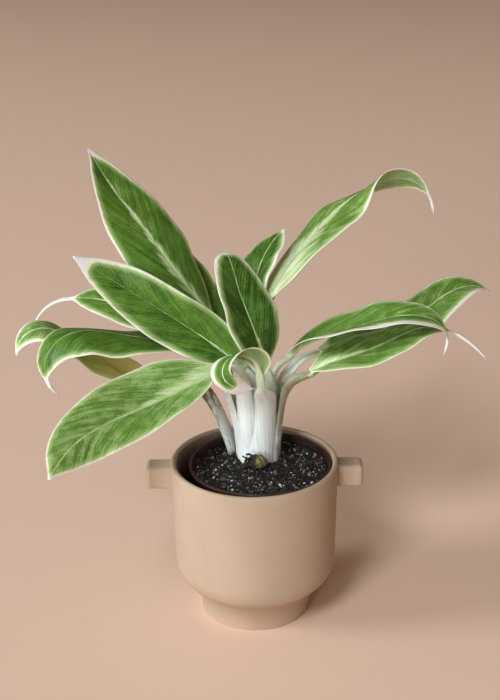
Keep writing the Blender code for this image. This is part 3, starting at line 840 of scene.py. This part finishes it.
def stalk_path(leaf, share, past):
    """A stalk's line from the clump and on under its blade, its two axes, its span and the blade's side."""
    angle = math.radians(leaf.root[0])
    outward = np.array((math.cos(angle), math.sin(angle), 0.0))
    root = CLUMP + outward * leaf.root[1]
    end = np.array(leaf.base)
    span = np.linalg.norm(end - root)
    toward = travel(leaf, np.zeros(1))[0]
    upright = root + outward * leaf.lean + UP * span * leaf.climb
    control = (root, upright, end - toward * span * STRAIGHT_SHARE, end)
    blade_share = past * RUNOUT_LENGTH / leaf.length
    rib = midrib(leaf, BLADE_ROWS) - end
    rib_share = np.linspace(0.0, 1.0, BLADE_ROWS + 1)
    runout = vectors(*[np.interp(blade_share, rib_share, rib[:, axis]) for axis in range(3)])
    spine = bezier(control, share) + runout
    along = unit(np.gradient(spine, axis=0))
    along[0] = UP
    side_root = np.array((-outward[1], outward[0], 0.0))
    side_end = blade_axes(leaf, blade_share)[0]
    blade_side = 1.0 if side_end[0] @ side_root > 0 else -1.0
    side = side_root + (blade_side * side_end - side_root) * share[:, None]
    side = unit(side - along * np.sum(side * along, axis=1, keepdims=True))
    spine[0] -= UP * STALK_SINK
    return spine, side, np.cross(side, along), span, blade_side


def build_stalk(number, leaf, finish):
    """A leaf's stalk: a broad thin-edged sheath at the clump, rounder above, running out under its blade."""
    share = np.append(np.linspace(0.0, 1.0, STALK_ROWS + 1), np.ones(RUNOUT_ROWS))
    past = np.append(np.zeros(STALK_ROWS), np.linspace(0.0, 1.0, RUNOUT_ROWS + 1))
    spine, side, depth, span, blade_side = stalk_path(leaf, share, past)
    wobble = np.array([[noise.noise(Vector((s * 5.0, number * 2.3, 0.0)))] for s in share])
    share = share[:, None]
    past = past[:, None]
    broad_share = BROAD_SHEATHS.get(leaf.name, SHEATH_SHARE)
    narrow = clamp((share - broad_share) / (ROUND_SHARE - broad_share))
    narrow = narrow * narrow * (3.0 - 2.0 * narrow)
    wide = SHEATH_HALF_WIDTH + (STALK_TOP_RADIUS - SHEATH_HALF_WIDTH) * narrow
    wide = wide * (1.0 + SHEATH_WOBBLE * wobble * (1.0 - narrow)) * (1.0 - RUNOUT_NARROWING * past)
    thick = SHEATH_DEPTH + (STALK_TOP_DEPTH - SHEATH_DEPTH) * narrow
    thick = thick * (1.0 - RUNOUT_THINNING * past)
    bend = np.maximum(leaf.root[1] * 0.72, wide * 1.06) * (1.0 - narrow) + STALK_TOP_RADIUS * 1.02 * narrow
    bend = np.maximum(bend, wide * 1.02)
    sunk = 0.5 * thick * blade_side * clamp((share - 0.75) / 0.25)
    spread = np.linspace(-1.0, 1.0, STALK_SIDES)
    turn = np.arcsin(wide / bend) * spread
    sideways = bend * np.sin(turn)
    edge_thick = np.minimum(SHEATH_EDGE, 0.3 * thick)
    body = edge_thick + (thick - edge_thick) * (1.0 - np.abs(spread) ** 2.4)
    groove = STALK_GROOVE * narrow * (1.0 - past) * np.exp(-(spread / 0.35) ** 2)
    stand = WINGS.get(leaf.name, 0.0) * np.exp(-((share - WING_MIDDLE) / WING_SPREAD) ** 2) * spread ** 4
    outer = bend * (np.cos(turn) - 1.0) + 0.5 * thick + sunk - stand
    outside, inside = [swept(spine, side, sideways, depth, back) for back in (outer, outer - body + groove)]
    piece = new_shell("stalk_" + leaf.name, outside, inside, finish, "stem_clump", "stalk")
    edge = np.abs(spread) * np.maximum(1.0 - narrow, stand.max(axis=1, keepdims=True) * 400)
    carry_on_shell(piece, "stalk_fields", share + 0.3 * past, edge, WITHERED.get(leaf.name, 0.05))
    lengthwise = (share * span + past * RUNOUT_LENGTH) * CM
    carry_on_shell(piece, "stalk_lines", sideways * CM, lengthwise, number * 3.1, beneath=(5.0, 0.0, 0.0))


def build_core(finish):
    """The short stem that the sheaths wrap."""
    share = np.repeat(np.linspace(0.0, 1.0, CORE_ROWS + 1), CORE_SIDES)
    turn = np.tile(np.linspace(0.0, math.tau, CORE_SIDES, endpoint=False), CORE_ROWS + 1)
    shoulder = 1.0 - 0.25 * clamp((share - 0.85) / 0.15)
    radius = (CORE_RADIUS + (CORE_TOP_RADIUS - CORE_RADIUS) * share) * shoulder
    radius = radius + CORE_RIDGE_HEIGHT * np.sin(turn * CORE_RIDGES)
    height = CLUMP[2] - STALK_SINK + share * (CORE_TOP - SOIL_TOP + STALK_SINK)
    verts = vectors(CORE_PLACE[0] + radius * np.cos(turn), CORE_PLACE[1] + radius * np.sin(turn), height)
    piece = new_piece("stem_core", verts, tube_faces(CORE_ROWS, CORE_SIDES), finish, "stem_clump")
    carry_field(piece, "stalk_fields", vectors(0.6 * share, 0.0, 0.1))
    carry_field(piece, "stalk_lines", vectors(turn * radius * CM, share * 7.0, 9.0))


# Old stub

def build_stub(finish):
    """The dried knob of an old sheath, ragged at its top."""
    low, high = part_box("old_stub")
    centre = (low + high) / 2
    half = (high - low) / 2
    shell = bmesh.new()
    bmesh.ops.create_uvsphere(shell, u_segments=56, v_segments=36, radius=1.0)
    lines = []
    tones = []
    for vert in shell.verts:
        x, y, z = vert.co
        turn = math.atan2(y, x)
        ridges = 0.045 * math.sin(turn * STUB_RIDGES + 2.0 * z) + 0.10 * noise.noise(vert.co * 2.2)
        dent = 0.28 * math.exp(-((x + 0.55) ** 2 + (z - 0.55) ** 2 + (y + 0.45) ** 2) / 0.10)
        scale = 0.93 + ridges - dent
        lines.append((turn * 0.7, z, 4.0))
        tones.append((0.62 - 0.75 * x + 0.5 * noise.noise(vert.co * 1.7), 0.0, 0.0))
        vert.co = Vector((centre.x + half.x * x * scale, centre.y + half.y * y * scale,
                          max(low.z, centre.z + half.z * z * scale)))
    piece = settle(object_of("dried_stub", shell), finish, "old_stub")
    carry_field(piece, "stalk_lines", lines)
    carry_field(piece, "dry_tone", tones)


def build_scraps(finish):
    """Curled dark flakes that have broken off beside the stub."""
    draw = np.random.default_rng(5)
    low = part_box("old_stub")[0]
    share = np.linspace(0.0, 1.0, SCRAP_ROWS)
    spread = np.linspace(-1.0, 1.0, SCRAP_COLUMNS)
    for number, (x, y, rise_up) in enumerate(SCRAPS):
        heading = draw.uniform(0.0, math.tau) + share * draw.uniform(-1.8, 1.8)
        rise = draw.uniform(0.2, 1.1) * np.cos(math.pi * share * draw.uniform(0.7, 1.1))
        length = draw.uniform(*SCRAP_LENGTHS)
        ahead = direction(heading, rise)
        spine = np.cumsum(ahead, axis=0) * length / SCRAP_ROWS + np.array((x, y, low.z + rise_up))
        side = unit(vectors(-np.sin(heading), np.cos(heading), 0.6))
        normal = np.cross(ahead, side)
        width = SCRAP_HALF_WIDTH * np.sin(math.pi * (0.12 + 0.80 * share))[:, None]
        grids = [swept(spine, side, width * spread, normal, width * 0.5 * spread ** 2 + off)
                 for off in (SCRAP_THICKNESS / 2, -SCRAP_THICKNESS / 2)]
        piece = new_shell("stub_scrap_%d" % number, *grids, finish, "old_stub", "dried_sheath")
        flat = np.ones(grids[0].shape[:2])
        carry_on_shell(piece, "stalk_lines", flat * 0.4 * number, 0.2, 6.0)
        carry_on_shell(piece, "dry_tone", flat * 1.3, 0.0, 0.0)


# Potting mix

def soil_height(x, y):
    """Height of the mix's surface at a place, x and y measured from the grower's pot's axis."""
    off_clump = math.hypot(x - (CLUMP[0] - POT_SHIFT), y - CLUMP[1])
    away = clamp((off_clump - SOIL_LEVEL_RADIUS) / SOIL_LEVEL_BLEND)
    mound = SOIL_MOUND * clamp((PLUG_RADIUS + SOIL_MOUND_MARGIN - off_clump) / SOIL_BLEND)
    bank = SOIL_BANK * clamp((math.hypot(x, y) - SOIL_BANK_RADIUS) / SOIL_BLEND)
    bumps, rough, fine = [height * noise.noise(Vector((x * per_metre, y * per_metre, seed)))
                          for height, per_metre, seed in SOIL_ROUGHNESS]
    return SOIL_TOP + mound + bank + bumps * away + rough + fine


def nursery_radius(height):
    share = (height - PLANTER_FLOOR) / (POT_TOP - PLANTER_FLOOR)
    return POT_BASE_RADIUS + (POT_RIM_RADIUS - POT_LIP_STEP - POT_BASE_RADIUS) * share


def build_soil(finish):
    """The body of the mix, with a rough top."""
    bottom = PLANTER_FLOOR + POT_WALL + 2 * GAP
    reach = nursery_radius(SOIL_TOP) - POT_WALL - GAP
    low_reach = nursery_radius(bottom) - POT_WALL - GAP
    verts = [(POT_SHIFT, 0.0, soil_height(0.0, 0.0))]
    for ring in range(1, SOIL_RINGS + 1):
        for x, y in circle(reach * ring / SOIL_RINGS, SOIL_SECTORS):
            verts.append((POT_SHIFT + x, y, soil_height(x, y)))
    verts += [(POT_SHIFT + x, y, bottom) for x, y in circle(low_reach, SOIL_SECTORS)]
    faces = [(0, 1 + sector, 1 + (sector + 1) % SOIL_SECTORS) for sector in range(SOIL_SECTORS)]
    faces += ring_faces(1, SOIL_RINGS + 1, SOIL_SECTORS)
    faces.append(tuple(range(len(verts) - SOIL_SECTORS, len(verts))))
    piece = new_piece("soil_body", verts, faces, finish, "potting_mix")
    carry_field(piece, "crumb_tone", np.tile((0.3, 0.0, 0.0), (len(verts), 1)))


def scatter_places(draw, count):
    """Places on the mix's surface, clear of the clump and of the pot's wall."""
    places = []
    reach = nursery_radius(SOIL_TOP) - POT_WALL - WALL_CLEARANCE
    while len(places) < count:
        x, y = draw.uniform(-reach, reach, 2)
        near_clump = math.hypot(x - (CLUMP[0] - POT_SHIFT), y - CLUMP[1]) < CLUMP_CLEARANCE
        if math.hypot(x, y) < reach and not near_clump:
            places.append((x, y))
    return places


def scatter_lumps(name, draw, places, sizes, divisions, roughness, finish):
    """Many small lumps in one piece, each turned and scaled by a seeded draw."""
    shell = bmesh.new()
    bmesh.ops.create_icosphere(shell, subdivisions=divisions, radius=1.0)
    base = np.array([vert.co for vert in shell.verts])
    base_faces = np.array([[vert.index for vert in face.verts] for face in shell.faces])
    shell.free()
    verts = []
    faces = []
    tones = []
    for number, (x, y) in enumerate(places):
        size = sizes[number]
        stretch = draw.uniform(0.6, 1.25, 3)
        lumps = 1.0 + roughness * draw.uniform(-1.0, 1.0, len(base))
        turned = (base * lumps[:, None] * stretch * size) @ random_turn(draw).T
        centre = np.array((POT_SHIFT + x, y, soil_height(x, y) + size * draw.uniform(-0.1, 0.5)))
        faces.append(base_faces + len(base) * number)
        verts.append(turned + centre)
        tones.append(np.tile((draw.uniform(0.0, 1.0), 0.0, 0.0), (len(base), 1)))
    piece = new_piece(name, np.concatenate(verts), np.concatenate(faces).tolist(), finish,
                      "potting_mix", smooth=divisions > 1)
    carry_field(piece, "crumb_tone", np.concatenate(tones))


def random_turn(draw):
    """A rotation matrix from a seeded draw."""
    axes, _ = np.linalg.qr(draw.normal(size=(3, 3)))
    return axes * np.linalg.det(axes)


def draw_sizes(draw, limits, count, smallness):
    """Sizes between two limits, the more of them small the higher the smallness."""
    low, high = limits
    return low + (high - low) * draw.uniform(0.0, 1.0, count) ** smallness


def build_crumbs(finish):
    draw = np.random.default_rng(11)
    places = scatter_places(draw, CRUMBS)
    sizes = draw_sizes(draw, CRUMB_SIZES, CRUMBS, 2.2)
    scatter_lumps("bark_crumbs", draw, places, sizes, 1, 0.25, finish)


def build_perlite(finish):
    draw = np.random.default_rng(23)
    places = [(x - POT_SHIFT, y) for x, y, _ in PERLITE_LARGE] + scatter_places(draw, PERLITE_BITS)
    sizes = [size for _, _, size in PERLITE_LARGE]
    sizes += list(draw_sizes(draw, PERLITE_SIZES, PERLITE_BITS, 1.8))
    scatter_lumps("perlite_bits", draw, places, sizes, 2, 0.14, finish)


def build_fibres(finish):
    """Short bark fibres lying on the mix."""
    draw = np.random.default_rng(31)
    verts = []
    faces = []
    tones = []
    for spot in scatter_places(draw, FIBRES):
        heading = draw.uniform(0.0, math.tau)
        curl = draw.uniform(-60.0, 60.0)
        length = draw.uniform(*FIBRE_LENGTHS)
        radius = draw.uniform(*FIBRE_RADII)
        faces += [tuple(len(verts) + i for i in face) for face in tube_faces(FIBRE_ROWS, FIBRE_SIDES)]
        for row in range(FIBRE_ROWS + 1):
            turn = heading + curl * length * row / FIBRE_ROWS
            ahead = np.array((math.cos(turn), math.sin(turn)))
            height = soil_height(*spot) + FIBRE_LIFT
            for across, lift in circle(radius, FIBRE_SIDES):
                verts.append((POT_SHIFT + spot[0] - ahead[1] * across, spot[1] + ahead[0] * across,
                              height + lift))
                tones.append((draw.uniform(0.7, 1.0), 0.0, 0.0))
            spot = spot + ahead * length / FIBRE_ROWS
    piece = new_piece("bark_fibres", verts, faces, finish, "potting_mix")
    carry_field(piece, "crumb_tone", tones)


# Pots

def ellipse_points(centre, half_width, half_height, steps, start=0.0, end=90.0):
    """Points on an ellipse, measured from +X downward."""
    turns = np.radians(np.linspace(start, end, steps + 1))
    return [(centre[0] + half_width * math.cos(turn), centre[1] - half_height * math.sin(turn))
            for turn in turns]


def turned(profile, steps, shift=0.0):
    """Vertices and faces of a solid turned from a profile whose ends lie on the axis."""
    verts = [(shift, 0.0, profile[0][1]), (shift, 0.0, profile[-1][1])]
    for radius, height in profile[1:-1]:
        verts += [(shift + x, y, height) for x, y in circle(radius, steps)]
    faces = ring_faces(2, len(profile) - 2, steps)
    last = len(verts) - steps
    for step in range(steps):
        beyond = (step + 1) % steps
        faces += [(0, 2 + step, 2 + beyond), (1, last + beyond, last + step)]
    return verts, faces


def combine(piece, other, operation):
    """Joins another object to a piece or cuts it out, and takes that object away."""
    change = piece.modifiers.new("Combine", "BOOLEAN")
    change.operation = operation
    change.solver = "EXACT"
    change.object = other
    bpy.context.view_layer.update()
    graph = bpy.context.evaluated_depsgraph_get()
    mesh = bpy.data.meshes.new_from_object(piece.evaluated_get(graph))
    piece.modifiers.clear()
    piece.data = mesh
    bpy.data.objects.remove(other, do_unlink=True)


def planter_profile():
    inner_top = PLANTER_RIM_RADIUS - PLANTER_WALL
    inner_low = BODY_LOW_RADIUS - PLANTER_WALL
    edge = PLANTER_WALL / 2
    soft = FOOT_EDGE_ROUNDING
    inner_corner = ellipse_points((PLANTER_FLOOR_RADIUS, BODY_ROUNDING_TOP),
                                  inner_low - PLANTER_FLOOR_RADIUS, BODY_ROUNDING_TOP - PLANTER_FLOOR, 12)
    rim = ellipse_points((inner_top + edge, PLANTER_HEIGHT - edge), edge, edge, 16, -180.0, 0.0)
    outer_corner = ellipse_points((FOOT_TOP_RADIUS, BODY_ROUNDING_TOP),
                                  BODY_LOW_RADIUS - FOOT_TOP_RADIUS, BODY_ROUNDING_TOP - FOOT_HEIGHT, 24)
    foot_edge = ellipse_points((FOOT_BASE_RADIUS - soft, soft), soft, soft, 5)
    floor = [(0.0, PLANTER_FLOOR), (PLANTER_FLOOR_RADIUS * 0.5, PLANTER_FLOOR)]
    return floor + inner_corner[::-1] + rim + outer_corner + foot_edge + [(0.0, 0.0)]


def build_planter(finish):
    verts, faces = turned(planter_profile(), PLANTER_STEPS)
    piece = new_piece("planter_shell", verts, faces, finish, "planter")
    for side in (-1, 1):
        combine(piece, lug_block(side), "UNION")
    # Painted shade on the inner wall: a mask that grows from just below the rim down to full dark
    inside = []
    for vert in piece.data.vertices:
        radius = math.hypot(vert.co.x, vert.co.y)
        hollow = radius < PLANTER_RIM_RADIUS - PLANTER_WALL + GAP and vert.co.z > BODY_ROUNDING_TOP
        depth = (PLANTER_HEIGHT - INSIDE_SHADE_TOP - vert.co.z) / INSIDE_SHADE_BLEND
        inside.append((clamp(depth) * hollow, 0.0, 0.0))
    carry_field(piece, "inside", inside)
    coat(piece, finish)


def lug_block(side):
    """A rounded lug with its root square, to sink into the wall."""
    shell = bmesh.new()
    bmesh.ops.create_cube(shell, size=1.0)
    for vert in shell.verts:
        vert.co.x = LUG_ROOT if vert.co.x * side < 0 else LUG_REACH
        vert.co.x *= side
        vert.co.y *= LUG_WIDTH
        vert.co.z = LUG_TOP - LUG_HEIGHT / 2 + vert.co.z * LUG_HEIGHT
    outer = [vert for vert in shell.verts if abs(vert.co.x) > (LUG_ROOT + LUG_REACH) / 2]
    edges = [edge for edge in shell.edges if edge.verts[0] in outer or edge.verts[1] in outer]
    bmesh.ops.bevel(shell, geom=edges, offset=LUG_ROUNDING, segments=7, profile=0.5, affect="EDGES")
    bmesh.ops.recalc_face_normals(shell, faces=shell.faces)
    lug = object_of("lug", shell)
    lug.data.shade_smooth()
    return lug


def build_nursery_pot(finish):
    foot = PLANTER_FLOOR + GAP
    floor = foot + POT_WALL
    lip_low = POT_TOP - POT_LIP_DROP
    soft = POT_LIP_ROUNDING
    inner = nursery_radius(POT_TOP) - POT_WALL
    profile = [(0.0, floor), (nursery_radius(floor) - POT_WALL, floor)]
    profile += ellipse_points((inner + soft, POT_TOP - soft), soft, soft, 5, -180.0, -90.0)
    profile += ellipse_points((POT_RIM_RADIUS - soft, POT_TOP - soft), soft, soft, 5, -90.0, 0.0)
    profile += [(nursery_radius(lip_low) + POT_LIP_STEP, lip_low), (nursery_radius(lip_low), lip_low),
                (nursery_radius(foot), foot), (0.0, foot)]
    verts, faces = turned(profile, POT_STEPS, POT_SHIFT)
    piece = new_piece("nursery_pot_shell", verts, faces, finish, "nursery_pot")
    for x, y in circle(DRAIN_RING, DRAIN_HOLES, 0.5):
        drill = bmesh.new()
        bmesh.ops.create_cone(drill, cap_ends=True, segments=24, radius1=DRAIN_RADIUS, radius2=DRAIN_RADIUS,
                              depth=0.006, matrix=Matrix.Translation((POT_SHIFT + x, y, foot)))
        combine(piece, object_of("drill", drill), "DIFFERENCE")
    coat(piece, finish)


# Studio

def build_floor():
    mesh = bpy.data.meshes.new("floor")
    mesh.from_pydata([(-15, -15, 0), (15, -15, 0), (15, 15, 0), (-15, 15, 0)], [], [(0, 1, 2, 3)])
    floor = put_in_scene("floor", mesh)
    coat(floor, new_material("pale_floor", 0.85, Base_Color=shader_colour((243, 208, 186)))[0])


def build_light(name, place, size, power):
    """A soft round lamp that faces the plant."""
    lamp = bpy.data.lights.new(name, "AREA")
    lamp.shape = "DISK"
    lamp.size = size
    lamp.energy = power
    lamp.color = LIGHT_COLOUR
    holder = put_in_scene(name, lamp)
    holder.location = place
    holder.rotation_euler = (Vector(LIGHT_AIM) - Vector(place)).to_track_quat("-Z", "Y").to_euler()


def build_studio():
    build_floor()
    build_light("key", (-3.5, -6.6, 6.9), 3.0, 500.0)
    build_light("side", (-9.2, -1.6, 3.6), 3.5, 520.0)
    build_light("fill", (-4.2, -9.0, 1.6), 3.0, 360.0)
    world = bpy.data.worlds.new("studio")
    bpy.context.scene.world = world
    world.use_nodes = True
    background = world.node_tree.nodes["Background"]
    background.inputs["Color"].default_value = (1.0, 0.76, 0.52, 1.0)
    background.inputs["Strength"].default_value = 0.17


def build_camera():
    """The photograph's viewpoint, looking down and turned a little about its axis."""
    lens = bpy.data.cameras.new("camera")
    lens.sensor_fit = "VERTICAL"
    lens.sensor_height = 36.0
    lens.lens = 64.0
    lens.clip_start = 0.05
    lens.clip_end = 60.0
    camera = put_in_scene("camera", lens)
    turn = Matrix.Rotation(math.pi / 2 - CAMERA_PITCH, 4, "X") @ Matrix.Rotation(CAMERA_ROLL, 4, "Z")
    camera.matrix_world = Matrix.Translation(CAMERA_PLACE) @ turn
    bpy.context.scene.camera = camera
    bpy.context.scene.view_settings.view_transform = "Standard"


def dress_plant():
    mottle_group()
    streaks_group()
    pits_group()
    blade = blade_material()
    stalk = stalk_material()
    dried = dried_material()
    soil = soil_material()
    build_planter(stoneware_material())
    build_nursery_pot(plastic_material())
    build_soil(soil)
    build_crumbs(soil)
    build_fibres(soil)
    build_perlite(perlite_material())
    build_core(stalk)
    build_stub(dried)
    build_scraps(dried)
    for number, leaf in enumerate(LEAVES):
        build_stalk(number, leaf, stalk)
        build_blade(number, leaf, blade)


build_camera()
build_studio()
dress_plant()
